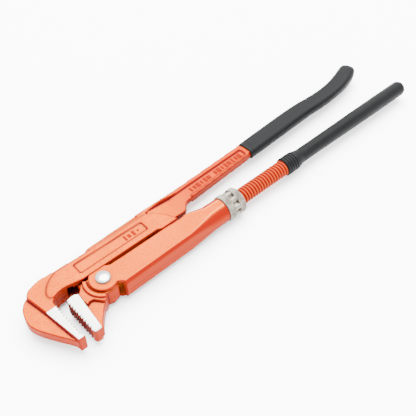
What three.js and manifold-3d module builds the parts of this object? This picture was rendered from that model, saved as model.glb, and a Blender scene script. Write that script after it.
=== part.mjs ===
// A 90 degree Swedish-pattern pipe wrench for 1 1/2 inch pipe.
// Millimetres, +Z up. While it is modelled the jaw rivet's axis is x = y = 0, +X runs
// along the legs to the handles, +Y points to the arm's back and z = 0 is the mid-plane.
import * as THREE from 'three';
import { mergeVertices } from 'three/addons/utils/BufferGeometryUtils.js';
import Module from 'manifold-3d';

const wasm = await Module();
wasm.setup();

// ---------------------------------------------------------------- driving sizes
const plateHalf = 7.4;          // half thickness of the jaw and of the arm inside the sleeve
const sideGap = 0.4;            // running clearance on each side face
const pinGap = 0.3;             // radial clearance of a pin in its hole
const seatGap = 0.3;            // gap between pieces that touch

// arm and fixed jaw
const headHalf = plateHalf + 0.5;    // tooth bar and head
const landHalf = plateHalf + 1.3;    // raised land along the arm
const panelHalf = plateHalf - 3;     // thinner backing of the hook
const rimHalf = plateHalf - 0.8;     // strip along the arm's back
const landRecess = 0.8;              // depth of the panel for the size mark
const barHalf = 3.7;                 // half thickness of the arm's I-section bar
const webHalf = 2.4;                 // half thickness of its web
const fixedToothX = -40.3;           // crest line of the fixed teeth
const jawBottomY = -31.5;            // end face of the fixed tooth bar
const throatY = 3.7;                 // top of the fixed tooth line
const rimY = 10.6;                   // arm's straight inner edge
const backY = 33.5;                  // arm's back edge beside the slot

// teeth
const toothPitch = 3.3;
const toothDepth = 1.7;
const toothCount = 10;

// T-slot in the arm's inner edge and the jaw's heel that rides in it
const slotStartX = -25;
const slotEndX = 64;
const slotCentreY = 16.5;
const heelX = -14;
const heelRadius = 2.4;
const heelHalf = 5.2;
const neckHalf = 3.2;
const lipThickness = 2.2;
const heelPlay = 1.3;                // the heel's travel across the slot

// movable jaw and its rivet
const rivetRadius = 4.5;
const rivetHeadRadius = 6.2;
const rivetHeadHeight = 2.6;
const tongueRadius = 9.8;
const rearRadius = 12.8;             // the jaw's back below the rivet
const ribInner = 13.2;
const ribOuter = 16.5;
const ribHalf = plateHalf + 1.3;
const movableToothX = -33;
const stripHalf = plateHalf + 1.6;   // movable tooth bar
const jawWebHalf = 4.8;              // jaw below its neck

// leg, pivot and thread
const pivotX = 74;
const legY = -4;
const pivotRadius = 4.5;
const eyeRadius = 7.4;
const eyeHalf = 3.2;
const lugRadius = 7.6;
const threadRadius = 7.45;
const threadDepth = 1.15;
const threadPitch = 3.11;
const threadGap = 0.35;
const ridgeCrest = 0.5;              // half width of the ridge at its crest
const ridgeSlope = 0.48;             // how much each flank widens towards the core
const ridgeSink = 0.4;               // how deep the ridge's base lies in the core
const threadStartX = 122;
const threadTurns = 27;
const threadSteps = 12;              // facets in each turn
const rodRadius = 5.4;
const rodEndX = 364;

// sleeve
const cheek = 2.4;
const earRadius = 11.8;
const earTopY = 9.4;
const cheekEdgeY = 6.9;
const floorY = -12.2;                // inner face of the outer wall
const floorWall = 3.4;
const cavityEndX = 86;
const tailEndX = 121;
const tailWall = 3.1;
const cornerRadius = 4;

// nut and retaining ring
const nutLength = 18.3;
const nutRim = 0.9;                  // how far the nut stands proud of the sleeve's tail
const spigotLength = 6.5;
const spigotStep = 1;
const ringSection = 1.5;
const ringWidth = 1;
const ringX = 2.4;                   // ring's place along the spigot
const ringSplit = 0.6;               // the ring's split, in radians

// vinyl grips
const gripWall = 1.7;
const gripStartX = 186;
const gripSetback = 1;               // the bar stops this far short of its grip
const legGripStartX = 196;
const legGripRadius = 6.85;          // just behind the collar
const legGripSwell = 0.65;           // how much it grows towards its end
const legCollarWall = 1.35;          // over the thread
const legCollarLength = 18;

// ---------------------------------------------------------------- worked out
const barEndX = gripStartX - gripSetback;
const threadEndX = threadStartX + threadTurns * threadPitch;
const coreRadius = threadRadius - threadDepth;
const legCollarRadius = threadRadius + legCollarWall;
const cavityHalf = plateHalf + sideGap;
const cheekFace = cavityHalf + cheek;
const rivetHole = rivetRadius + pinGap;
const pivotHole = pivotRadius + pinGap;
const tailBore = threadRadius + 0.45;
const tailRadius = tailBore + tailWall;
const nutRadius = tailRadius + nutRim;
const spigotRadius = tailRadius - spigotStep;
const spigotEndX = tailEndX + spigotLength;
const nutStartX = tailEndX + seatGap;
const nutEndX = nutStartX + nutLength;
const counterbore = spigotRadius + pinGap;
const ringStartX = tailEndX + ringX;
const ringMiddle = spigotRadius + pinGap / 2;
const ringGrooveGap = 0.15;
const slotHalf = heelHalf + pinGap;
const mouthHalf = neckHalf + sideGap;
const slotLowY = slotCentreY - heelRadius - heelPlay;
const slotHighY = slotCentreY + heelRadius + heelPlay;
const lipY = slotLowY - lipThickness;
const forkHalf = eyeHalf + sideGap;
const big = 60;                      // reach of a cut that passes right through

// ---------------------------------------------------------------- solids
function solid(geometry) {
  const bare = geometry.index ? geometry.toNonIndexed() : geometry.clone();
  bare.deleteAttribute('normal');
  bare.deleteAttribute('uv');
  const merged = mergeVertices(bare, 1e-4);
  const index = merged.index.array;
  const triangles = [];
  for (let i = 0; i < index.length; i += 3) {
    const [a, b, c] = [index[i], index[i + 1], index[i + 2]];
    if (a !== b && b !== c && c !== a) triangles.push(a, b, c);
  }
  return new wasm.Manifold(new wasm.Mesh({
    numProp: 3,
    vertProperties: new Float32Array(merged.attributes.position.array),
    triVerts: new Uint32Array(triangles),
  }));
}

function geometryOf(body) {
  const mesh = body.getMesh();
  const geometry = new THREE.BufferGeometry();
  geometry.setAttribute('position', new THREE.BufferAttribute(mesh.vertProperties, 3));
  geometry.setIndex(new THREE.BufferAttribute(mesh.triVerts, 1));
  geometry.computeVertexNormals();
  return geometry;
}

const join = (...bodies) => bodies.reduce((sum, body) => sum.add(body));
const cut = (body, ...tools) => tools.reduce((left, tool) => left.subtract(tool), body);

// an outline in XY between two heights
function plate(shape, low, high) {
  const depth = high - low;
  const geometry = new THREE.ExtrudeGeometry(shape, { depth, bevelEnabled: false });
  return solid(geometry.translate(0, 0, low));
}

function block(x0, x1, y0, y1, z0, z1) {
  const geometry = new THREE.BoxGeometry(x1 - x0, y1 - y0, z1 - z0);
  return solid(geometry.translate((x0 + x1) / 2, (y0 + y1) / 2, (z0 + z1) / 2));
}

// a cylinder that stands along Z
function post(x, y, radius, low, high, sides = 32) {
  const geometry = new THREE.CylinderGeometry(radius, radius, high - low, sides);
  return solid(geometry.rotateX(Math.PI / 2).translate(x, y, (low + high) / 2));
}

// a [radius, height] profile turned about Z
function turnedZ(profile, sides = 32) {
  const points = profile.map(([radius, z]) => new THREE.Vector2(radius, z));
  return solid(new THREE.LatheGeometry(points, sides).rotateX(Math.PI / 2));
}

// an [x, radius] profile turned about the leg's axis
function turnedX(profile, sides = 32) {
  const points = profile.map(([x, radius]) => new THREE.Vector2(radius, x));
  const geometry = new THREE.LatheGeometry(points, sides).rotateZ(-Math.PI / 2);
  return solid(geometry.translate(0, legY, 0));
}

const rod = (x0, x1, radius, sides = 32) =>
  turnedX([[x0, 0], [x0, radius], [x1, radius], [x1, 0]], sides);

const collar = (x0, x1, inner, outer, sides = 32) =>
  turnedX([[x0, inner], [x0, outer], [x1, outer], [x1, inner], [x0, inner]], sides);

function shapeOf(points) {
  return new THREE.Shape(points.map(([x, y]) => new THREE.Vector2(x, y)));
}

// smooth points through a few given ones
function curveThrough(points, count) {
  const curve = new THREE.SplineCurve(points.map(([x, y]) => new THREE.Vector2(x, y)));
  return curve.getPoints(count).map((p) => [p.x, p.y]);
}

function arcPoints(cx, cy, radius, from, to, count) {
  const points = [];
  for (let i = 0; i <= count; i += 1) {
    const angle = THREE.MathUtils.degToRad(from + (to - from) * i / count);
    points.push([cx + radius * Math.cos(angle), cy + radius * Math.sin(angle)]);
  }
  return points;
}

// a closed skin over rings that all hold the same number of points
function loft(rings) {
  const count = rings[0].length;
  const positions = rings.flat(2);
  const index = [];
  for (let r = 0; r + 1 < rings.length; r += 1) {
    for (let i = 0; i < count; i += 1) {
      const a = r * count + i;
      const b = r * count + (i + 1) % count;
      index.push(a, b, b + count, a, b + count, a + count);
    }
  }
  const lastRing = (rings.length - 1) * count;
  for (let i = 1; i + 1 < count; i += 1) {
    index.push(0, i + 1, i);
    index.push(lastRing, lastRing + i, lastRing + i + 1);
  }
  const geometry = new THREE.BufferGeometry();
  geometry.setAttribute('position', new THREE.Float32BufferAttribute(positions, 3));
  geometry.setIndex(index);
  return solid(geometry);
}

// a ring in a plane across X: a rectangle with round corners
function roundedRing(x, lowY, highY, halfZ, radius, perCorner = 8) {
  const ring = [];
  const corners = [[highY - radius, halfZ - radius, 0], [lowY + radius, halfZ - radius, 90],
    [lowY + radius, radius - halfZ, 180], [highY - radius, radius - halfZ, 270]];
  for (const [y, z, start] of corners) {
    for (const [py, pz] of arcPoints(y, z, radius, start, start + 90, perCorner)) {
      ring.push([x, py, pz]);
    }
  }
  return ring;
}

// the crests and roots of a tooth row that runs down from topY, crests on lineX
function toothRow(lineX, topY, side) {
  const points = [];
  for (let i = 0; i < toothCount; i += 1) {
    const y = topY - i * toothPitch;
    points.push([lineX + side * toothDepth, y - 0.1]);
    points.push([lineX, y - toothPitch * 0.45]);
    points.push([lineX, y - toothPitch * 0.6]);
  }
  return points;
}

// the helical ridge of the leg's thread, grown by a clearance when it cuts the nut
function threadRidge(fromX, toX, grow) {
  const baseRadius = coreRadius - ridgeSink + grow * 1.5;
  const baseWidth = ridgeCrest + (threadRadius - baseRadius) * ridgeSlope + grow;
  const section = [[baseWidth, baseRadius], [ridgeCrest + grow, threadRadius + grow],
    [-ridgeCrest - grow, threadRadius + grow], [-baseWidth, baseRadius]];
  const steps = Math.round((toX - fromX) / threadPitch * threadSteps);
  const rings = [];
  for (let i = 0; i <= steps; i += 1) {
    const x = fromX + (toX - fromX) * i / steps;
    const angle = (x - threadStartX) / threadPitch * 2 * Math.PI;
    rings.push(section.map(([dx, radius]) =>
      [x + dx, legY + radius * Math.cos(angle), radius * Math.sin(angle)]));
  }
  return loft(rings);
}

// ---------------------------------------------------------------- the arm and fixed jaw
const armBack = [[33, 35.5], [59, 36.1], [84, 36.3], [90, 36.9], [96, 37.9], [104, 38.9],
  [142, 40.3], [barEndX, 42]];
const archLine = [[66, 30.3], [71.4, 27], [76.1, 22], [80.5, 14], [82.8, 8.6]];
const flangeLine = [[72, 33.2], [90, 34.3], [112, 35.2], [gripStartX + 2, 37.4]];

// hook, head and arm up to the bar, seen along Z
function headShape() {
  const throat = curveThrough([[fixedToothX, throatY], [-40.5, 8], [-38, 11.2], [-31.8, 13.4],
    [-26, 13.6], [-20, 12.4], [-11.4, rimY]], 20);
  const crown = curveThrough([[-53.3, 26.1], [-48.8, 30.7], [-38.2, backY], [-25, 32.8]], 12);
  return shapeOf([...throat, [62, rimY], [66, 8.6], ...curveThrough(archLine, 12).reverse(),
    [68, 33.2], [30, 32], [5, 31.6], ...crown.reverse(), [-49.5, 4.7], [-45, jawBottomY],
    [fixedToothX + 1, jawBottomY],
    ...toothRow(fixedToothX, throatY - 0.4, -1).reverse()]);
}

function hookShape() {
  const back = curveThrough([[-45.5, jawBottomY + 0.3], [-47.8, -26.1], [-54.7, -15.1], [-59.2, -7.3],
    [-62.4, -1], [-64.4, 6], [-63.7, 12.6], [-61.2, 19.8], [-56.7, 25.3], [-51.3, 28.4]], 26);
  return shapeOf([...back.reverse(), [-43, jawBottomY + 0.3], [-44, 20]]);
}

function landShape() {
  const nose = curveThrough([[-11.4, rimY], [-20, 12.4], [-26, 13.6], [-31.8, 13.4], [-37, 11.9],
    [-40, 13], [-40.5, 16.1], [-39, 19.9], [-36, 23.4], [-31.3, 27.1], [-24, 30.4]], 30);
  return shapeOf([...curveThrough(archLine, 12), [66, 8.6], [62, rimY], ...nose]);
}

// the rim along the back ends where the bar has thinned down to it
function backRimShape() {
  return shapeOf([[-26, 29], [66, 29], ...flangeLine.slice(0, 2), ...armBack.slice(0, 4).reverse(),
    [18, 34.9], [9, 34.7], [6, backY], [4, 32.7], [-26, 32.7]]);
}

// right of the arch the arm narrows to the bar
function barShape() {
  const notch = curveThrough([[97, 14.9], [99, 16.4], [101.3, 19.2], [103.5, 21.3], [106, 22.1]], 10);
  return shapeOf([[60, 12], [66, 8.6], [82, 8.6], [84, 13.7], [93.5, 14.4], ...notch,
    [111.5, 22.3], [barEndX, 27], ...armBack.slice(1).reverse(), [60, 30]]);
}

// a side view given as [x, half height] points, wide enough to trim the whole arm
function sideBlank(half) {
  const lower = [...half].reverse().map(([x, z]) => [x, -z]);
  const geometry = new THREE.ExtrudeGeometry(shapeOf([...half, ...lower].reverse()),
    { depth: big, bevelEnabled: false });
  return solid(geometry.rotateX(Math.PI / 2).translate(0, big - 5, 0));
}

// the bar thins from the land's height; its web is sunk below the two flanges
function makeBar() {
  const endX = gripStartX + 6;
  const flanges = sideBlank([[58, plateHalf], [84, plateHalf], [104, barHalf], [endX, barHalf]]);
  const sunk = sideBlank([[58, plateHalf], [70, 6.6], [94, webHalf], [endX + 1, webHalf]]);
  const web = shapeOf([[64, 5], [110.6, 5], [110.6, 23.6], [112, 24.6], [gripStartX + 2, 29.2],
    ...[...flangeLine].reverse(), [64, 32]]);
  const profile = plate(barShape(), -plateHalf, plateHalf).intersect(flanges);
  return cut(profile, cut(plate(web, -big, big), sunk));
}

// the arm's tang and its grip follow one line; [x, y, half width, half height]
const handleLine = [[gripStartX, 34.4, 9.3, 5.7], [206, 35.5, 9.5, 5.7], [226, 36.6, 9.6, 5.7],
  [257, 38.1, 9.6, 5.7], [272, 38.3, 9.2, 5.7], [288, 37.8, 8.8, 5.7], [307, 38.7, 8.6, 5.7],
  [324, 41.3, 9, 5.8], [338, 45.2, 9.2, 5.9], [347, 49, 8.5, 5.8]];

// rings across the handle line, each side drawn in by inset; the end rounds off
function handleRings(inset, fromX) {
  const line = new THREE.CatmullRomCurve3(handleLine.map(([x, y]) => new THREE.Vector3(x, y, 0)));
  const widths = new THREE.CatmullRomCurve3(
    handleLine.map(([, , width, height]) => new THREE.Vector3(width, height, 0)));
  const rings = [];
  const stations = 18;
  const power = 0.72;                 // below 1 the section turns from an ellipse to a box
  const round = (value) => Math.sign(value) * Math.abs(value) ** power;
  const addRing = (centre, along, width, height) => {
    const ring = [];
    for (let i = 0; i < 16; i += 1) {
      const angle = i / 16 * 2 * Math.PI;
      const across = round(Math.cos(angle)) * width;
      ring.push([centre.x - along.y * across, centre.y + along.x * across,
        round(Math.sin(angle)) * height]);
    }
    rings.push(ring);
  };
  for (let i = 0; i <= stations; i += 1) {
    const t = i / stations;
    const size = widths.getPoint(t);
    const centre = line.getPoint(t);
    if (i === 0) centre.x = fromX;
    addRing(centre, line.getTangent(t), size.x - inset, size.y - inset);
  }
  const end = line.getPoint(1);
  const along = line.getTangent(1);
  const size = widths.getPoint(1);
  for (const turn of [30, 55, 75]) {
    const angle = THREE.MathUtils.degToRad(turn);
    const centre = end.clone().addScaledVector(along, (size.x - inset) * Math.sin(angle));
    addRing(centre, along, (size.x - inset) * Math.cos(angle), (size.y - inset) * Math.cos(angle));
  }
  return rings;
}

function makeArm() {
  const panel = shapeOf([[-10, 16.1], [57.6, 16.1], [57.6, 26.4], [-10, 27.4]]);
  const land = cut(plate(landShape(), -landHalf, landHalf),
    plate(panel, landHalf - landRecess, big), plate(panel, -big, landRecess - landHalf));
  const lug = join(post(pivotX, legY, lugRadius, -plateHalf, plateHalf, 40),
    block(pivotX - lugRadius, pivotX + lugRadius, legY, 12, -plateHalf, plateHalf));
  const body = join(plate(headShape(), -headHalf, headHalf), plate(hookShape(), -panelHalf, panelHalf),
    plate(backRimShape(), -rimHalf, rimHalf), land, makeBar(), lug,
    loft(handleRings(gripWall + seatGap, gripStartX - 4)));
  return cut(body,
    block(slotStartX, slotEndX, lipY - 20, slotLowY + 0.1, -mouthHalf, mouthHalf),
    block(slotStartX, slotEndX, slotLowY, slotHighY, -slotHalf, slotHalf),
    block(slotEndX - 12, slotEndX - 4, lipY - 20, slotHighY, -slotHalf, slotHalf),
    block(pivotX - lugRadius - 3, pivotX + big, legY - big, legY + eyeRadius + 1.6, -forkHalf, forkHalf),
    post(pivotX, legY, pivotHole, -big, big));
}

// ---------------------------------------------------------------- movable jaw
function jawShape() {
  const crown = curveThrough([[-15.3, 8.1], [-18.8, 4.8], [-22.6, 1.5], [-25, 2.8], [-28.5, 3],
    [movableToothX + 0.2, 1.8]], 12);
  return shapeOf([...crown, ...toothRow(movableToothX, 1.2, 1), [movableToothX + 1, -33.2],
    [-31, -33.7], [-25, -33.7], [-21.8, -28.6], [-18, -24], [-14, -19.4], [-9.5, -15.6],
    ...arcPoints(0, 0, rearRadius, 246, 298, 8), ...arcPoints(0, 0, tongueRadius, -62, 118, 20)]);
}

// three thicknesses: a thin web, the neck round the rivet down to a step, and the tooth bar
function jawLevels() {
  const web = shapeOf([[-40, -40], [20, -40], [20, 20], [-40, 20]]);
  const neck = shapeOf([[-22.6, 20], [-22.6, -10.4], [-19.9, -8.9], [-16.5, -9.2], [-13.1, -13.3],
    [-9.5, -17.8], [20, -17.8], [20, 20]]);
  const bar = shapeOf([[-40, -40], [-27, -40], [-21.7, 10], [-40, 10]]);
  return join(plate(web, -jawWebHalf, jawWebHalf), plate(neck, -plateHalf, plateHalf),
    plate(bar, -stripHalf, stripHalf));
}

function makeJaw() {
  const rib = shapeOf([...arcPoints(0, 0, ribOuter, 146, 242, 16),
    ...arcPoints(0, 0, ribInner, 242, 146, 16)]);
  const stem = shapeOf([[heelX - 4, 2], [heelX + 6, 2], [heelX + 2.2, slotCentreY],
    [heelX - 2.2, slotCentreY]]);
  const body = join(plate(jawShape(), -stripHalf, stripHalf).intersect(jawLevels()),
    plate(rib, -ribHalf, ribHalf), plate(stem, -neckHalf, neckHalf),
    post(heelX, slotCentreY, heelRadius, -heelHalf, heelHalf, 20));
  return cut(body, post(0, 0, rivetHole, -big, big));
}

// ---------------------------------------------------------------- sleeve
function cheekShape() {
  const ear = arcPoints(0, 0, earRadius, 127, 304, 22);
  return shapeOf([...ear, [8.2, -11.6], [10, -12.6], [10.4, -20], [tailEndX, -20], [tailEndX, 9],
    [96, 7.2], [82, 6], [66, 6.7], [12, cheekEdgeY], [8, earTopY]]);
}

function makeSleeve() {
  const outerLow = floorY - floorWall;
  const box = [[-earRadius - 2, 0.2], [4, 0.2], [80, -0.7]].map(([x, drop]) =>
    roundedRing(x, outerLow - drop, 16, cheekFace, cornerRadius));
  const tail = [106, tailEndX].map((x, i) => roundedRing(x, legY - tailRadius, legY + tailRadius,
    tailRadius, tailRadius - (i ? 0.01 : 0.5)));
  const shoulder = roundedRing(94, outerLow + 0.9, 9, (cheekFace + tailRadius) / 2, 7);
  const outer = loft([...box, shoulder, ...tail]).intersect(plate(cheekShape(), -big, big));
  const spigot = rod(tailEndX - 1, spigotEndX, spigotRadius, 40);
  const ringGroove = collar(ringStartX - seatGap, ringStartX + ringWidth + seatGap,
    ringMiddle - ringSection / 2 - ringGrooveGap, spigotRadius + 1);
  return cut(join(outer, spigot),
    block(-big, cavityEndX, floorY, big, -cavityHalf, cavityHalf),
    rod(cavityEndX - 4, spigotEndX + 1, tailBore, 40),
    post(0, 0, rivetHole, -big, big), ringGroove);
}

// ---------------------------------------------------------------- leg, nut and fasteners
function makeLeg() {
  const eye = post(pivotX, legY, eyeRadius, -eyeHalf, eyeHalf, 36);
  const neckEndX = cavityEndX + 8;
  const neck = loft([roundedRing(pivotX, legY - 5.4, legY + 5.4, eyeHalf, 0.6, 4),
    roundedRing(cavityEndX - 1, legY - 5.4, legY + 5.4, eyeHalf, 0.6, 4),
    roundedRing(neckEndX, legY - coreRadius, legY + coreRadius, coreRadius, coreRadius - 0.05, 4)]);
  const core = turnedX([[neckEndX - 0.5, 0], [neckEndX - 0.5, coreRadius], [threadEndX + 2, coreRadius],
    [threadEndX + 5, rodRadius], [rodEndX - 4, rodRadius], [rodEndX - 1, rodRadius - 1.6],
    [rodEndX - 1, 0]], threadSteps);
  const body = join(eye, neck, core, threadRidge(threadStartX, threadEndX, 0));
  return cut(body, post(pivotX, legY, pivotHole, -big, big));
}

function makeNut() {
  const grooveStart = ringStartX - seatGap;
  const grooveEnd = ringStartX + ringWidth + seatGap;
  const grooveRadius = ringMiddle + ringSection / 2 + ringGrooveGap;
  const boreStart = spigotEndX + seatGap * 2;
  const boreRadius = coreRadius + threadGap;
  const bandStart = nutStartX + 6.7;
  const bandEnd = bandStart + 5.6;
  const blank = turnedX([[nutStartX, counterbore], [nutStartX, nutRadius - 0.5],
    [nutStartX + 0.5, nutRadius], [bandStart, nutRadius], [bandStart + 0.4, nutRadius - 0.7],
    [bandEnd - 0.4, nutRadius - 0.7], [bandEnd, nutRadius], [nutEndX - 0.5, nutRadius],
    [nutEndX, nutRadius - 0.5], [nutEndX, boreRadius], [boreStart, boreRadius],
    [boreStart, counterbore], [grooveEnd, counterbore], [grooveEnd, grooveRadius],
    [grooveStart, grooveRadius], [grooveStart, counterbore], [nutStartX, counterbore]], 40);
  const turns = Math.ceil((nutEndX - boreStart) / threadPitch) + 2;
  const fromX = threadStartX + threadPitch * Math.floor((boreStart - threadStartX) / threadPitch);
  return cut(blank, threadRidge(fromX, fromX + turns * threadPitch, threadGap));
}

function makeRivet() {
  const seat = cheekFace + seatGap;
  const head = [];
  for (let i = 0; i <= 6; i += 1) {
    const angle = i / 6 * Math.PI / 2;
    head.push([rivetHeadRadius * Math.cos(angle), seat + 0.5 + (rivetHeadHeight - 0.5) * Math.sin(angle)]);
  }
  head[head.length - 1][0] = 0;
  const upper = [[rivetRadius, seat], [rivetHeadRadius - 0.1, seat], ...head];
  const lower = upper.map(([radius, z]) => [radius, -z]).reverse();
  return turnedZ([...lower, ...upper], 28);
}

function makeRing() {
  const inner = ringMiddle - ringSection / 2;
  const outer = ringMiddle + ringSection / 2;
  const ring = collar(ringStartX, ringStartX + ringWidth, inner, outer);
  const halfSplit = outer * Math.sin(ringSplit / 2);
  return cut(ring, block(ringStartX - 1, ringStartX + ringWidth + 1, legY + 2, legY + outer + 2,
    -halfSplit, halfSplit));
}

// ---------------------------------------------------------------- grips
function makeArmGrip() {
  const rings = handleRings(0, gripStartX);
  const hollow = handleRings(gripWall, gripStartX - 5);
  return cut(loft(rings), loft(hollow));
}

function makeLegGrip() {
  const collarEnd = legGripStartX + legCollarLength;
  const ribs = [];
  const ribCount = 5;
  const ribPitch = (legCollarLength - 4) / ribCount;
  for (let i = 0; i < ribCount; i += 1) {
    const x = legGripStartX + 1 + i * ribPitch;
    ribs.push([x, legCollarRadius - 0.6], [x + 0.5, legCollarRadius],
      [x + ribPitch - 1, legCollarRadius], [x + ribPitch - 0.5, legCollarRadius - 0.6]);
  }
  const endRadius = legGripRadius + legGripSwell;
  const tip = [];
  for (let i = 0; i <= 5; i += 1) {
    const angle = i / 5 * Math.PI / 2;
    tip.push([rodEndX - 2 + endRadius * Math.sin(angle), endRadius * Math.cos(angle)]);
  }
  tip[tip.length - 1][1] = 0;
  const boreRadius = rodRadius + seatGap;
  const outer = turnedX([[legGripStartX, 0], [legGripStartX, legCollarRadius - 0.6], ...ribs,
    [collarEnd - 2, legCollarRadius - 0.8], [collarEnd + 3, legGripRadius + 0.2],
    [collarEnd + 12, legGripRadius], [collarEnd + 70, legGripRadius + legGripSwell / 2], ...tip], 24);
  const hollow = turnedX([[legGripStartX - 5, 0], [legGripStartX - 5, threadRadius + seatGap],
    [threadEndX + 2 + seatGap, threadRadius + seatGap], [threadEndX + 5 + seatGap, boreRadius],
    [rodEndX - 0.5, boreRadius], [rodEndX - 0.5, 0]], 24);
  return cut(outer, hollow);
}

// ---------------------------------------------------------------- the assembly
const orange = { color: 0xe8572a, roughness: 0.45, metalness: 0.1 };
const steel = { color: 0xb9bcc0, roughness: 0.35, metalness: 0.9 };
const vinyl = { color: 0x2e3136, roughness: 0.6, metalness: 0 };

const pieces = [
  ['fixed_jaw_arm', makeArm(), orange],
  ['movable_jaw', makeJaw(), orange],
  ['sleeve', makeSleeve(), orange],
  ['threaded_leg', makeLeg(), { color: 0xc8401c, roughness: 0.45, metalness: 0.1 }],
  ['adjusting_nut', makeNut(), { color: 0xc9c0b0, roughness: 0.4, metalness: 0.9 }],
  ['jaw_rivet', makeRivet(), { color: 0xd0d3d6, roughness: 0.25, metalness: 1 }],
  ['pivot_pin', post(pivotX, legY, pivotRadius, 0.2 - plateHalf, plateHalf - 0.2), steel],
  ['nut_retaining_ring', makeRing(), steel],
  ['arm_grip', makeArmGrip(), vinyl],
  ['leg_grip', makeLegGrip(), vinyl],
];

const wrench = new THREE.Group();
for (const [name, body, finish] of pieces) {
  const mesh = new THREE.Mesh(geometryOf(body), new THREE.MeshStandardMaterial(finish));
  mesh.name = name;
  wrench.add(mesh);
}

// the finished part stands on z = 0, centred on its own length and width
const bounds = new THREE.Box3().setFromObject(wrench);
const centre = bounds.getCenter(new THREE.Vector3());
wrench.position.set(-centre.x, -centre.y, -bounds.min.z);

export default wrench;
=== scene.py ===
"""Looks of a 90 degree Swedish-pattern pipe wrench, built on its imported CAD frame."""
import math

import bmesh
import bpy
from mathutils import Matrix, Vector


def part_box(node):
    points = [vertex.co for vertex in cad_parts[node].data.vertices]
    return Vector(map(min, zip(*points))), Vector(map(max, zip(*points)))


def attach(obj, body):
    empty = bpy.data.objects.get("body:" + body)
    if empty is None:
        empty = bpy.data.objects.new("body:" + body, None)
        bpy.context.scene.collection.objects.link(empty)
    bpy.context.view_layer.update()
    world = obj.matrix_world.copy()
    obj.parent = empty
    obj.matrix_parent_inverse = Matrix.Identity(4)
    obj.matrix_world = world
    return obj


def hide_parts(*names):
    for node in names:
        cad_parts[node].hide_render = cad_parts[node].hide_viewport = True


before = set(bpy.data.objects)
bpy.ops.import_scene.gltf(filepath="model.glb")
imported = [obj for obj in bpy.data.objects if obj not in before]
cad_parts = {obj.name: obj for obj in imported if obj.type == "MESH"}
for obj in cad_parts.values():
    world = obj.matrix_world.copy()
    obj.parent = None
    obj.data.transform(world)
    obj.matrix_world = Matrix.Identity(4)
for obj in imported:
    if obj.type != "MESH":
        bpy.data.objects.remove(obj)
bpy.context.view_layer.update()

MM = 0.001


def middle(node):
    """The centre of a CAD node's box."""
    low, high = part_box(node)
    return (low + high) / 2


# The part is laid out from the jaw rivet: x along the leg, y to the arm's back, z up.
ORIGIN = middle("jaw_rivet")
LEG_Y = (middle("leg_grip") - ORIGIN).y / MM
NUT_START = (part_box("adjusting_nut")[0] - ORIGIN).x / MM
NUT_END = (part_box("adjusting_nut")[1] - ORIGIN).x / MM
NUT_RADIUS = (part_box("adjusting_nut")[1] - middle("adjusting_nut")).z / MM
GRIP_START = (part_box("leg_grip")[0] - ORIGIN).x / MM
GRIP_END = (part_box("leg_grip")[1] - ORIGIN).x / MM
THREAD_RADIUS = (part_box("threaded_leg")[1] - middle("threaded_leg")).z / MM
THREAD_PITCH = 3.11


def at(x, y, z=0.0):
    """A point given in millimetres from the jaw rivet, in the row frame in metres."""
    return ORIGIN + Vector((x, y, z)) * MM


# ---------------------------------------------------------------- camera, light and floor
CAMERA_AT = (-150.6, -291.0, 442.4)      # millimetres from the jaw rivet
CAMERA_HEADING = 48.28                   # degrees from +X towards +Y
CAMERA_DIP = 48.07                       # degrees below the horizon
CAMERA_ROLL = 0.67
CAMERA_LENS = 60.08


def make_camera():
    """Looks down on the jaws from the leg's side."""
    heading, dip, roll = (math.radians(a) for a in (CAMERA_HEADING, CAMERA_DIP, CAMERA_ROLL))
    forward = Vector((math.cos(dip) * math.cos(heading), math.cos(dip) * math.sin(heading),
                      -math.sin(dip)))
    right = Vector((math.sin(heading), -math.cos(heading), 0))
    down = forward.cross(right)
    right, down = (right * math.cos(roll) + down * math.sin(roll),
                   down * math.cos(roll) - right * math.sin(roll))
    data = bpy.data.cameras.new("camera")
    data.sensor_width = 36
    data.lens = CAMERA_LENS
    data.clip_start = 0.01
    camera = bpy.data.objects.new("camera", data)
    bpy.context.scene.collection.objects.link(camera)
    turn = Matrix((right, -down, -forward)).transposed()
    camera.matrix_world = Matrix.Translation(at(*CAMERA_AT)) @ turn.to_4x4()
    bpy.context.scene.camera = camera


WORLD_STRENGTH = 5.4
KEY_AT = (0.5, 0.5, 2.4)                 # metres, above and behind the arm
KEY_SIZE = 2.6
KEY_POWER = 540
FLOOR_SIZE = 12


def make_studio():
    """An even pale room, one large soft lamp and a plain floor."""
    world = bpy.data.worlds.new("studio")
    bpy.context.scene.world = world
    world.use_nodes = True
    backdrop = world.node_tree.nodes["Background"]
    backdrop.inputs["Color"].default_value = (1, 1, 1, 1)
    backdrop.inputs["Strength"].default_value = WORLD_STRENGTH
    data = bpy.data.lights.new("key", "AREA")
    data.shape = "DISK"
    data.size = KEY_SIZE
    data.energy = KEY_POWER
    key = bpy.data.objects.new("key", data)
    bpy.context.scene.collection.objects.link(key)
    key.location = KEY_AT
    key.rotation_euler = (-Vector(KEY_AT)).to_track_quat("-Z", "Y").to_euler()
    bpy.ops.mesh.primitive_grid_add(x_subdivisions=4, y_subdivisions=4, size=FLOOR_SIZE)
    floor = bpy.context.object
    floor.name = "floor"
    floor.data.materials.append(floor_material())


# ---------------------------------------------------------------- materials
def blank_material(name):
    """A new material with its node tree and its main shader."""
    material = bpy.data.materials.new(name)
    material.use_nodes = True
    tree = material.node_tree
    return material, tree, tree.nodes["Principled BSDF"]


def put(tree, socket, value):
    """Link another node's output to a socket, or set the socket's own value."""
    if isinstance(value, bpy.types.NodeSocket):
        tree.links.new(value, socket)
    elif socket.type == "RGBA":
        socket.default_value = (*value, 1)
    else:
        socket.default_value = value


def node(tree, kind, **inputs):
    """A shader node with some of its inputs set or linked. Names use _ for spaces."""
    made = tree.nodes.new(kind)
    for key, value in inputs.items():
        put(tree, made.inputs[key.replace("_", " ")], value)
    return made


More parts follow.
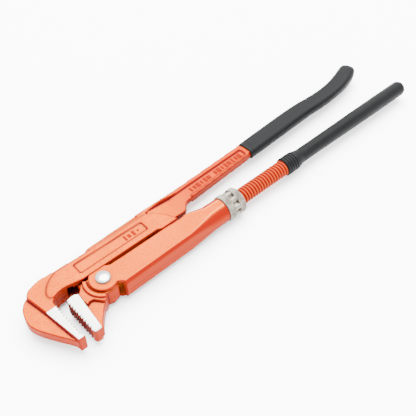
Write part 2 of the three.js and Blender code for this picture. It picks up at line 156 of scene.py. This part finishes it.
def noise(tree, where, scale, detail=3.0, rough=0.5):
    made = node(tree, "ShaderNodeTexNoise", Vector=where, Scale=scale, Detail=detail, Roughness=rough)
    return made.outputs["Fac"]


def ramp(tree, value, stops):
    """A colour ramp through (position, colour or grey) stops."""
    made = node(tree, "ShaderNodeValToRGB", Fac=value)
    elements = made.color_ramp.elements
    for i, (position, colour) in enumerate(stops):
        entry = elements[i] if i < len(elements) else elements.new(position)
        entry.position = position
        entry.color = (*colour, 1) if isinstance(colour, tuple) else (colour, colour, colour, 1)
    return made.outputs["Color"]


def mix(tree, factor, first, second):
    """The first colour where the factor is 0, the second where it is 1."""
    made = tree.nodes.new("ShaderNodeMix")
    made.data_type = "RGBA"
    put(tree, made.inputs[0], factor)
    put(tree, made.inputs[6], first)
    put(tree, made.inputs[7], second)
    return made.outputs[2]


def maths(tree, operation, first, second=0.0, clamp=False):
    made = tree.nodes.new("ShaderNodeMath")
    made.operation = operation
    made.use_clamp = clamp
    put(tree, made.inputs[0], first)
    put(tree, made.inputs[1], second)
    return made.outputs[0]


def away(tree, value, level):
    """How far a value lies from a level."""
    return maths(tree, "ABSOLUTE", maths(tree, "SUBTRACT", value, level))


def bump(tree, shader, height, strength, distance):
    made = node(tree, "ShaderNodeBump", Height=height, Strength=strength, Distance=distance)
    tree.links.new(made.outputs["Normal"], shader.inputs["Normal"])


def pointiness(tree):
    """Above 0.5 on outer edges, below it in grooves."""
    return tree.nodes.new("ShaderNodeNewGeometry").outputs["Pointiness"]


def openness(tree, reach):
    """1 in the open, 0 deep inside a gap, looking as far as reach in metres."""
    return node(tree, "ShaderNodeAmbientOcclusion", Distance=reach).outputs["AO"]


def rest_place(tree):
    """Coordinates that stay with the piece when it moves."""
    return tree.nodes.new("ShaderNodeTexCoord").outputs["Object"]


def floor_material():
    material, tree, shader = blank_material("floor")
    shade = noise(tree, rest_place(tree), 3, 2)
    tree.links.new(ramp(tree, shade, [(0.3, 0.93), (0.7, 0.95)]), shader.inputs["Base Color"])
    shader.inputs["Roughness"].default_value = 0.9
    shader.inputs["Specular IOR Level"].default_value = 0.1
    return material


PAINT_FACE = (0.385, 0.064, 0.0)        # flat faces
PAINT_STRONG_TONE = (0.250, 0.0230, 0.0)      # a deeper orange: speckles, darkening along x, and the painted highlight on the thread
PAINT_EDGE_SHADE = (0.115, 0.0030, 0.0)      # painted shade, strong in colour, where the surface bends and along convex edges
PAINT_LIT = (0.50, 0.130, 0.030)        # where the gloss catches the light on an edge
PAINT_WALL_SHADE = (0.175, 0.0135, 0.002)     # painted shade on the side walls
PAINT_SHADE_AND_SEAM = (0.045, 0.0018, 0.0040)    # painted shade in grooves, gaps and thread roots; also the parting line
PAINT_DARK = (0.0065, 0.0010, 0.0026)   # hardly any light gets in
THREAD_PAINT = (0.095, 0.0022, 0.0)
DARKEN_RUN = 40 * MM                      # length over which the paint darkens along x
SEAM_DROP = 1.5 * MM                    # the forging's parting line, below the mid-plane
SEAM_HALF = MM / 1.8                    # the line fades out this far from its middle
GAP_REACH = 12 * MM


def levelness(tree):
    """1 on the flat sides, 0 on the walls between them."""
    normal = tree.nodes.new("ShaderNodeTexCoord").outputs["Normal"]
    split = node(tree, "ShaderNodeSeparateXYZ", Vector=normal)
    return maths(tree, "ABSOLUTE", split.outputs["Z"])


def face_colour(tree, where, along, darken_from):
    """Cloudy and speckled; darker and stronger in colour along x from the given start, in millimetres."""
    cloudy = ramp(tree, noise(tree, where, 40, 4), [(0.35, 0.0), (0.65, 1.0)])
    face = mix(tree, cloudy, PAINT_FACE, tuple(c * 0.85 for c in PAINT_FACE))
    if darken_from is not None:
        past = maths(tree, "SUBTRACT", along, at(darken_from, 0).x)
        face = mix(tree, maths(tree, "MULTIPLY", past, 1 / DARKEN_RUN, clamp=True), face, PAINT_STRONG_TONE)
    speckle = ramp(tree, noise(tree, where, 900, 2, 0.6), [(0.46, 0.0), (0.64, 0.85)])
    return mix(tree, speckle, face, PAINT_STRONG_TONE)


def edge_colour(tree, face, height):
    """Round edges get a painted highlight and then a strong painted shade, convex edges and side walls get
    painted shade, and the walls carry a parting line.
    """
    level = levelness(tree)
    # painted shade: the bend between flat faces and walls turns strong in colour
    rounded = ramp(tree, level, [(0.86, 1.0), (0.96, 0.0)])
    lit = ramp(tree, level, [(0.92, 0.0), (0.95, 0.8), (0.978, 0.0)])
    walled = ramp(tree, level, [(0.20, 1.0), (0.55, 0.0)])
    colour = mix(tree, lit, mix(tree, rounded, face, PAINT_EDGE_SHADE), PAINT_LIT)
    # painted shade on the side walls
    colour = mix(tree, walled, colour, PAINT_WALL_SHADE)
    # painted shade along convex edges
    crest_shade = ramp(tree, pointiness(tree), [(0.504, 0.0), (0.53, 0.9)])
    colour = mix(tree, crest_shade, colour, PAINT_EDGE_SHADE)
    from_seam = away(tree, height, ORIGIN.z - SEAM_DROP)
    near = maths(tree, "SUBTRACT", 1.0, maths(tree, "MULTIPLY", from_seam, 1 / SEAM_HALF), clamp=True)
    seam = maths(tree, "MULTIPLY", maths(tree, "MULTIPLY", near, walled), 0.7)
    return mix(tree, seam, colour, PAINT_SHADE_AND_SEAM)


def shaded_colour(tree, colour):
    """Painted shade: darker in grooves, and nearly black inside the gaps."""
    groove_shade = ramp(tree, pointiness(tree), [(0.475, 1.0), (0.498, 0.0)])
    colour = mix(tree, groove_shade, colour, PAINT_SHADE_AND_SEAM)
    light = openness(tree, GAP_REACH)
    colour = mix(tree, ramp(tree, light, [(0.3, 1.0), (0.62, 0.0)]), colour, PAINT_SHADE_AND_SEAM)
    return mix(tree, ramp(tree, light, [(0.08, 1.0), (0.32, 0.0)]), colour, PAINT_DARK)


def paint_nodes(tree, shader, darken_from=None):
    """A glossy coat over a forged surface."""
    where = rest_place(tree)
    place = node(tree, "ShaderNodeSeparateXYZ", Vector=where)
    face = face_colour(tree, where, place.outputs["X"], darken_from)
    colour = shaded_colour(tree, edge_colour(tree, face, place.outputs["Z"]))
    fine_peel = maths(tree, "MULTIPLY", noise(tree, where, 1400, 3), 0.5)
    peel = maths(tree, "ADD", fine_peel, noise(tree, where, 420, 2))
    shine = ramp(tree, noise(tree, where, 160, 3), [(0.3, 0.34), (0.7, 0.46)])
    tree.links.new(shine, shader.inputs["Roughness"])
    shader.inputs["Specular IOR Level"].default_value = 0.015
    bump(tree, shader, peel, 0.3, 0.0005)
    return colour


def paint_material(name, tint=None):
    """The coat by itself, or turned most of the way to a tint."""
    material, tree, shader = blank_material(name)
    colour = paint_nodes(tree, shader)
    if tint is not None:
        colour = mix(tree, 0.85, colour, tint)
    tree.links.new(colour, shader.inputs["Base Color"])
    return material


def thread_material():
    """A deeper-coloured paint, with painted shade in the roots of the thread and a painted highlight on
    its crests.
    """
    material, tree, shader = blank_material("thread_finish")
    where = rest_place(tree)
    colour = ramp(tree, pointiness(tree), [(0.46, PAINT_SHADE_AND_SEAM), (0.495, THREAD_PAINT), (0.54, PAINT_STRONG_TONE)])
    tree.links.new(colour, shader.inputs["Base Color"])
    shine = ramp(tree, noise(tree, where, 160, 3), [(0.3, 0.30), (0.7, 0.42)])
    tree.links.new(shine, shader.inputs["Roughness"])
    shader.inputs["Specular IOR Level"].default_value = 0.02
    bump(tree, shader, noise(tree, where, 600, 3), 0.2, 0.0003)
    return material


GRIND_EDGE = MM / 8                     # softness of the ground area's outline
GRIND_BORDER = MM / 6                   # softness of its border towards the mid-plane


def side_of(tree, place, first, second):
    """1 on the left of the line from first to second, both in millimetres from the rivet."""
    start, end = at(*first), at(*second)
    along = (end - start).normalized()
    normal = Vector((-along.y, along.x, 0))
    dot = tree.nodes.new("ShaderNodeVectorMath")
    dot.operation = "DOT_PRODUCT"
    tree.links.new(place, dot.inputs[0])
    dot.inputs[1].default_value = normal
    offset = maths(tree, "SUBTRACT", dot.outputs["Value"], normal.dot(start))
    return maths(tree, "ADD", maths(tree, "MULTIPLY", offset, 1 / GRIND_EDGE), 0.5, clamp=True)


def ground_mask(tree, corners):
    """1 inside a convex outline on the flat faces beyond the ground level."""
    place = rest_place(tree)
    mask = None
    for first, second in zip(corners, corners[1:] + corners[:1]):
        inside = side_of(tree, place, first, second)
        mask = inside if mask is None else maths(tree, "MULTIPLY", mask, inside)
    split = node(tree, "ShaderNodeSeparateXYZ", Vector=place)
    height = away(tree, split.outputs["Z"], ORIGIN.z)
    past = maths(tree, "SUBTRACT", height, GROUND_LEVEL * MM)
    return maths(tree, "MULTIPLY", mask, maths(tree, "MULTIPLY", past, 1 / GRIND_BORDER, clamp=True))


def ground_jaw_material(name, corners, darken_from=None):
    """Painted forging with a tooth strip ground bright on both flat sides."""
    material, tree, shader = blank_material(name)
    paint = paint_nodes(tree, shader, darken_from)
    mask = ground_mask(tree, corners)
    where = rest_place(tree)
    stretched = node(tree, "ShaderNodeMapping", Vector=where, Scale=(900, 60, 60))
    lines = noise(tree, stretched.outputs["Vector"], 1.0, 4)
    steel = ramp(tree, lines, [(0.3, (0.44, 0.44, 0.42)), (0.7, (0.58, 0.57, 0.55))])
    tree.links.new(mix(tree, mask, paint, steel), shader.inputs["Base Color"])
    tree.links.new(maths(tree, "MULTIPLY", mask, 0.15), shader.inputs["Metallic"])
    return material


def nickel_material():
    """Satin plating, with painted shade in the knurling and deep in each pocket of the band."""
    material, tree, shader = blank_material("nickel")
    where = rest_place(tree)
    blotch = noise(tree, where, 260, 4)
    colour = ramp(tree, blotch, [(0.35, (0.07, 0.063, 0.051)), (0.65, (0.19, 0.172, 0.142))])
    # painted shade in the knurl valleys
    grooves = ramp(tree, pointiness(tree), [(0.43, 1.0), (0.50, 0.0)])
    colour = mix(tree, grooves, colour, (0.035, 0.024, 0.015))
    # painted shade deep in the band's pocket hollows
    pocket_shade = ramp(tree, openness(tree, 3 * MM), [(0.5, 1.0), (0.9, 0.0)])
    colour = mix(tree, pocket_shade, colour, (0.03, 0.02, 0.013))
    tree.links.new(colour, shader.inputs["Base Color"])
    tree.links.new(ramp(tree, blotch, [(0.3, 0.34), (0.7, 0.5)]), shader.inputs["Roughness"])
    shader.inputs["Metallic"].default_value = 0.85
    bump(tree, shader, noise(tree, where, 2200, 2), 0.2, 0.0002)
    return material


def zinc_material(name, colour, low, high):
    """Bright steel with painted shade where it turns down at its edge; low and high bound its roughness.
    """
    material, tree, shader = blank_material(name)
    where = rest_place(tree)
    blotch = noise(tree, where, 300, 4)
    shade = tuple(c * 0.8 for c in colour)
    dark = tuple(c * 0.22 for c in colour)
    plated = ramp(tree, blotch, [(0.3, shade), (0.7, colour)])
    edge_shaded = mix(tree, ramp(tree, levelness(tree), [(0.4, 1.0), (0.88, 0.0)]), plated, dark)
    tree.links.new(edge_shaded, shader.inputs["Base Color"])
    tree.links.new(ramp(tree, blotch, [(0.3, low), (0.7, high)]), shader.inputs["Roughness"])
    shader.inputs["Metallic"].default_value = 0.9
    bump(tree, shader, noise(tree, where, 1500, 2), 0.12, 0.0002)
    return material


def vinyl_material():
    """Dull black, with a painted highlight along its outer edges."""
    material, tree, shader = blank_material("vinyl")
    where = rest_place(tree)
    cloud = noise(tree, where, 45, 4)
    colour = ramp(tree, cloud, [(0.3, (0.0014, 0.0016, 0.0018)), (0.7, (0.0024, 0.0027, 0.0029))])
    edge_highlight = ramp(tree, pointiness(tree), [(0.51, 0.0), (0.58, 1.0)])
    colour = mix(tree, edge_highlight, colour, (0.0075, 0.008, 0.009))
    tree.links.new(colour, shader.inputs["Base Color"])
    tree.links.new(ramp(tree, cloud, [(0.3, 0.42), (0.7, 0.56)]), shader.inputs["Roughness"])
    shader.inputs["Specular IOR Level"].default_value = 0.045
    grain = maths(tree, "ADD", noise(tree, where, 900, 3), noise(tree, where, 120, 2))
    bump(tree, shader, grain, 0.22, 0.0005)
    return material


# ---------------------------------------------------------------- mesh helpers
def new_piece(name, mesh, material, body):
    """An object with one material that rides on a body."""
    piece = bpy.data.objects.new(name, mesh)
    bpy.context.scene.collection.objects.link(piece)
    mesh.materials.clear()
    mesh.materials.append(material)
    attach(piece, body)
    return piece


def mesh_from(name, points, faces):
    mesh = bpy.data.meshes.new(name)
    mesh.from_pydata(points, [], faces)
    mesh.update()
    return mesh


def smooth_shaded(mesh):
    mesh.polygons.foreach_set("use_smooth", [True] * len(mesh.polygons))
    return mesh


def softened(source, voxel, rounds):
    """A copy of a CAD node's mesh with its forged or moulded corners rounded off."""
    work = bpy.data.objects.new("work", source.data.copy())
    bpy.context.scene.collection.objects.link(work)
    skin = work.modifiers.new("skin", "REMESH")
    skin.mode = "VOXEL"
    skin.voxel_size = voxel * MM
    soften = work.modifiers.new("soften", "SMOOTH")
    soften.factor = 0.5
    soften.iterations = rounds
    ready = bpy.context.evaluated_depsgraph_get()
    mesh = bpy.data.meshes.new_from_object(work.evaluated_get(ready))
    bpy.data.objects.remove(work)
    return smooth_shaded(mesh)


def grid_skin(name, rows, looped=False):
    """A skin over rings of points; looped also joins the last ring to the first."""
    count = len(rows[0])
    points = [point for row in rows for point in row]
    faces = []
    for r in range(len(rows) if looped else len(rows) - 1):
        low, high = r * count, (r + 1) % len(rows) * count
        for i in range(count):
            j = (i + 1) % count
            faces.append((low + i, low + j, high + j, high + i))
    return smooth_shaded(mesh_from(name, points, faces))


def ring(x, radius_of, sides):
    """A ring of points round the leg's axis; radius_of takes the angle."""
    row = []
    for i in range(sides):
        angle = 2 * math.pi * i / sides
        radius = radius_of(angle)
        row.append(at(x, LEG_Y - radius * math.sin(angle), radius * math.cos(angle)))
    return row


def turned(name, stations, radius_at, sides):
    """A surface round the leg's axis; radius_at takes x and the angle."""
    return grid_skin(name, [ring(x, lambda angle, x=x: radius_at(x, angle), sides) for x in stations])


def steps(start, end, count):
    """count equal steps from start to end, both included."""
    return [start + (end - start) * i / count for i in range(count + 1)]


def blend_between(value, low, high):
    """0 below low, 1 above high, smooth between."""
    t = min(1.0, max(0.0, (value - low) / (high - low)))
    return t * t * (3 - 2 * t)


# ---------------------------------------------------------------- forged pieces
PANEL_LEVEL = 7.9                       # half thickness at the recessed panel
WEB_LEVEL = 2.4                         # half thickness at the bar's web
GROUND_LEVEL = 7.2                      # the ground strips lie beyond this half thickness
ARM_DARKEN_FROM = 75                      # the arm's paint darkens from here towards its grip
# outlines of the strips ground beside the teeth
FIXED_STRIP = [(-44.6, -31.0), (-30, -31.0), (-30, 4.2), (-49.5, 4.2)]
MOVING_STRIP = [(-40, -33.9), (-26.1, -33.9), (-22.4, 1.6), (-26, 4), (-40, 4)]


def make_arm():
    mesh = softened(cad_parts["fixed_jaw_arm"], 0.6, 1)
    finish = ground_jaw_material("arm_finish", FIXED_STRIP, darken_from=ARM_DARKEN_FROM)
    piece = new_piece("arm_forging", mesh, finish, "arm")
    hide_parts("fixed_jaw_arm")


def add_mark(bm, centre, along, length, height, level, rise):
    """A raised slab with sloping sides, with no lettering, on both flat sides."""
    across = Vector((-along.y, along.x))
    for side in (1, -1):
        rings = []
        for grow, z in ((0.25, level - 0.3), (0.2, level), (0, level + rise)):
            corners = []
            for u, v in ((-1, -1), (1, -1), (1, 1), (-1, 1)):
                spot = centre + along * u * (length / 2 + grow) + across * v * (height / 2 + grow)
                corners.append(bm.verts.new(at(spot.x, spot.y, side * z)))
            rings.append(corners)
        for low, high in zip(rings, rings[1:]):
            for i in range(4):
                bm.faces.new((low[i], low[(i + 1) % 4], high[(i + 1) % 4], high[i]))
        bm.faces.new(rings[-1])
        bm.faces.new(list(reversed(rings[0])))


# each mark's x, length and height
PANEL_MARKS = [(37.5, 1.6, 5.2), (41.5, 2.6, 3.4), (46.0, 2.2, 5.2), (50.5, 1.6, 1.6)]
PANEL_MARK_Y = 21.2
PANEL_MARK_ALONG = Vector((1, 0.03)).normalized()
WEB_MARKS = 15
WEB_MARK_GAP = 6                        # a space after the first six
WEB_MARK_START = Vector((116, 29.9))
WEB_MARK_STEP = Vector((4.3, 0.19))
WEB_MARK_ALONG = Vector((1, 0.045)).normalized()


def make_marks():
    """Plain raised marks where a maker would forge a size and a steel grade."""
    bm = bmesh.new()
    for x, length, height in PANEL_MARKS:
        add_mark(bm, Vector((x, PANEL_MARK_Y)), PANEL_MARK_ALONG, length, height, PANEL_LEVEL, 0.35)
    for i in range(WEB_MARKS):
        if i != WEB_MARK_GAP:
            centre = WEB_MARK_START + i * WEB_MARK_STEP
            length, height = 1.5 + 0.9 * (i % 3), 4.6 - 0.8 * (i % 2)
            add_mark(bm, centre, WEB_MARK_ALONG, length, height, WEB_LEVEL, 0.6)
    bmesh.ops.recalc_face_normals(bm, faces=bm.faces)
    mesh = bpy.data.meshes.new("marks")
    bm.to_mesh(mesh)
    bm.free()
    # the marks are turned towards the painted edge shade colour so they show dark
    new_piece("arm_marks", mesh, paint_material("mark_finish", PAINT_EDGE_SHADE), "arm")


def make_jaw():
    mesh = softened(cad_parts["movable_jaw"], 0.4, 2)
    finish = ground_jaw_material("jaw_finish", MOVING_STRIP)
    piece = new_piece("jaw_forging", mesh, finish, "jaw")
    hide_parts("movable_jaw")


def make_sleeve():
    mesh = softened(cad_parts["sleeve"], 0.5, 4)
    finish = paint_material("sleeve_finish")
    piece = new_piece("sleeve_shell", mesh, finish, "sleeve")
    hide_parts("sleeve")


# ---------------------------------------------------------------- leg and nut
ROUND_SIDES = 64
THREAD_START = 95.0
THREAD_DEPTH = 1.3
THREAD_HIDDEN = 6.0                     # how far the thread runs on inside the grip
EYE_HALF = 3.2
EYE_OUTER = 7.4
EYE_INNER = 4.8


def rod_skin():
    """The leg's round rod with its thread."""
    def radius_at(x, angle):
        turn = (x - THREAD_START) / THREAD_PITCH - angle / (2 * math.pi)
        wave = 0.5 + 0.5 * math.cos(2 * math.pi * turn)
        ridge = THREAD_DEPTH * wave ** 0.8 * blend_between(x, THREAD_START, THREAD_START + 4)
        return THREAD_RADIUS - THREAD_DEPTH + ridge

    end = GRIP_START + THREAD_HIDDEN
    count = int((end - THREAD_START) / THREAD_PITCH * 12)
    return turned("thread_skin", steps(THREAD_START, end, count), radius_at, ROUND_SIDES)


def neck_skin(eye_x):
    """Flat beside the eye, round where the rod begins."""
    rings = []
    for x, half_y, half_z, power in ((eye_x + 6.5, 4.6, EYE_HALF, 0.35), (84, 5.4, EYE_HALF, 0.35),
                                     (88, 5.8, 4.6, 0.6), (THREAD_START, 6.15, 6.15, 1.0)):
        row = []
        for i in range(ROUND_SIDES):
            angle = 2 * math.pi * i / ROUND_SIDES
            side, up = -math.sin(angle), math.cos(angle)
            row.append(at(x, LEG_Y + half_y * math.copysign(abs(side) ** power, side),
                          half_z * math.copysign(abs(up) ** power, up)))
        rings.append(row)
    return grid_skin("neck_skin", rings)


def eye_skin(eye_x):
    """The flat ring that the pivot pin passes through."""
    rings = []
    for radius, height in ((EYE_INNER, -EYE_HALF), (EYE_OUTER, -EYE_HALF),
                           (EYE_OUTER, EYE_HALF), (EYE_INNER, EYE_HALF)):
        row = []
        for i in range(ROUND_SIDES):
            angle = 2 * math.pi * i / ROUND_SIDES
            row.append(at(eye_x + radius * math.cos(angle), LEG_Y + radius * math.sin(angle), height))
        rings.append(row)
    return grid_skin("eye_skin", rings, looped=True)


def make_leg():
    eye_x = (middle("pivot_pin") - ORIGIN).x / MM
    bm = bmesh.new()
    for part in (rod_skin(), neck_skin(eye_x), eye_skin(eye_x)):
        bm.from_mesh(part)
    bmesh.ops.recalc_face_normals(bm, faces=bm.faces)
    mesh = bpy.data.meshes.new("leg_skin")
    bm.to_mesh(mesh)
    bm.free()
    piece = new_piece("leg_rod", smooth_shaded(mesh), thread_material(), "leg")
    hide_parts("threaded_leg")


NUT_SIDES = 384
NUT_BAND = (6.7, 12.3)                  # the smooth band, from the nut's start
NUT_POCKETS = 8
POCKET_DEPTH = 2.4
KNURLS = 60
KNURL_DEPTH = 0.3
KNURL_STEP = 1.35
COUNTERBORE_END = 6.32                  # the sleeve's spigot turns in this
RING_GROOVE = (1.8, 3.4)


def make_nut():
    """Two knurled rims with a pocketed band between them, bored for the spigot and the thread."""
    band_start, band_end = (NUT_START + offset for offset in NUT_BAND)

    def radius_at(x, angle):
        into_band = blend_between(x, band_start - 0.3, band_start + 0.3)
        into_band *= 1 - blend_between(x, band_end - 0.3, band_end + 0.3)
        knurl = KNURL_DEPTH * math.cos(KNURLS * angle) * math.cos((x - NUT_START) / KNURL_STEP * math.pi)
        rim = NUT_RADIUS - KNURL_DEPTH + knurl
        edge = min(x - NUT_START, NUT_END - x, abs(x - band_start) + 0.2, abs(x - band_end) + 0.2)
        rim -= 0.5 * (1 - blend_between(edge, 0, 0.7))
        scallop = 0.5 + 0.5 * math.cos(NUT_POCKETS * angle)
        band = NUT_RADIUS - 0.6 - POCKET_DEPTH * scallop ** 1.6
        return rim * (1 - into_band) + band * into_band

    bore = THREAD_RADIUS + 0.35
    counterbore = NUT_RADIUS - 1.0
    groove = NUT_RADIUS - 0.7
    groove_start, groove_end = (NUT_START + offset for offset in RING_GROOVE)
    step_x = NUT_START + COUNTERBORE_END
    inside = [(NUT_END, bore), (step_x, bore), (step_x, counterbore), (groove_end, counterbore),
              (groove_end, groove), (groove_start, groove), (groove_start, counterbore),
              (NUT_START, counterbore)]
    rows = [ring(x, lambda angle, x=x: radius_at(x, angle), NUT_SIDES)
            for x in steps(NUT_START, NUT_END, 90)]
    rows += [ring(x, lambda angle, radius=radius: radius, NUT_SIDES) for x, radius in inside]
    skin = grid_skin("nut_skin", rows, looped=True)
    piece = new_piece("nut_knurled", skin, nickel_material(), "nut")
    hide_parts("adjusting_nut")


def make_rivet():
    mesh = softened(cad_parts["jaw_rivet"], 0.25, 6)
    finish = zinc_material("zinc", (0.36, 0.365, 0.37), 0.16, 0.3)
    piece = new_piece("rivet_dome", mesh, finish, "sleeve")
    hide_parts("jaw_rivet")


def finish_hidden_steel():
    finish = zinc_material("plain_steel", (0.24, 0.245, 0.25), 0.35, 0.5)
    for name in ("pivot_pin", "nut_retaining_ring"):
        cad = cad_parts[name]
        cad.data.materials.clear()
        cad.data.materials.append(finish)


# ---------------------------------------------------------------- grips
HANDLE_LINE = [(186, 34.4), (206, 35.5), (226, 36.6), (257, 38.1), (272, 38.3), (288, 37.8),
               (307, 38.7), (324, 41.3), (338, 45.2), (356, 53.5)]   # the arm grip's middle
HOLLOW_DEPTH = 0.9
HOLLOW_HALF = 6.0
HOLLOW_LEVEL = 4.2                      # nothing nearer the mid-plane is drawn in


def make_arm_grip(finish):
    """The vinyl follows the I-section under it: hollow along both flat sides."""
    mesh = softened(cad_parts["arm_grip"], 0.6, 6)
    line = [Vector(spot) for spot in HANDLE_LINE]
    for vertex in mesh.vertices:
        spot = (vertex.co - ORIGIN) / MM
        for start, end in zip(line, line[1:]):
            if spot.x <= end.x or end is line[-1]:
                break
        along = (end - start).normalized()
        aside = abs((Vector((spot.x, spot.y)) - start).cross(along))
        fade = blend_between(spot.x, 188, 194) * (1 - blend_between(spot.x, 325, 345))
        hollow = HOLLOW_DEPTH * fade * max(0.0, 1 - (aside / HOLLOW_HALF) ** 2)
        drawn_in = min(hollow, max(0.0, abs(spot.z) - HOLLOW_LEVEL))
        vertex.co.z -= math.copysign(drawn_in * MM, spot.z)
    piece = new_piece("arm_dipped_grip", mesh, finish, "arm")
    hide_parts("arm_grip")


COLLAR_LENGTH = 18
COLLAR_RIB_PITCH = 2.8
COLLAR_RIB_DEPTH = 0.75
LEG_GRIP_RADIUS = 6.85                  # just behind the collar
LEG_GRIP_SWELL = 0.65
LEG_GRIP_TIP = 7                        # length of the rounded end


def make_leg_grip(finish):
    """A ribbed collar that runs into a plain round grip with a rounded end."""
    collar_end = GRIP_START + COLLAR_LENGTH
    collar_radius = (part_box("leg_grip")[1] - middle("leg_grip")).z / MM

    def radius_at(x, angle):
        into_collar = 1 - blend_between(x, collar_end - 3, collar_end + 5)
        rib = 0.5 + 0.5 * math.cos((x - GRIP_START - 1.6) / COLLAR_RIB_PITCH * 2 * math.pi)
        rib_height = COLLAR_RIB_DEPTH * (1 - blend_between(x, collar_end - 3.5, collar_end - 2))
        ribbed = collar_radius - COLLAR_RIB_DEPTH + rib_height * rib ** 0.7
        plain = LEG_GRIP_RADIUS + LEG_GRIP_SWELL * blend_between(x, collar_end + 5, GRIP_END - 30)
        body = ribbed * into_collar + plain * (1 - into_collar)
        body -= 0.5 * (1 - blend_between(x, GRIP_START, GRIP_START + 0.6))
        left = max(0.0, GRIP_END - x)
        if left < LEG_GRIP_TIP:
            body *= math.sqrt(max(0.0004, 1 - (1 - left / LEG_GRIP_TIP) ** 2))
        return body

    stations = steps(GRIP_START, collar_end + 6, 110) + steps(collar_end + 7, GRIP_END - 8, 60)
    stations += [GRIP_END - LEG_GRIP_TIP * (1 - math.sin(turn)) for turn in steps(0, math.pi / 2, 14)]
    mesh = turned("leg_grip_skin", stations, radius_at, ROUND_SIDES)
    piece = new_piece("leg_dipped_grip", mesh, finish, "leg")
    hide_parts("leg_grip")


make_camera()
make_studio()
make_arm()
make_marks()
make_jaw()
make_sleeve()
make_leg()
make_nut()
make_rivet()
finish_hidden_steel()
vinyl = vinyl_material()
make_arm_grip(vinyl)
make_leg_grip(vinyl)
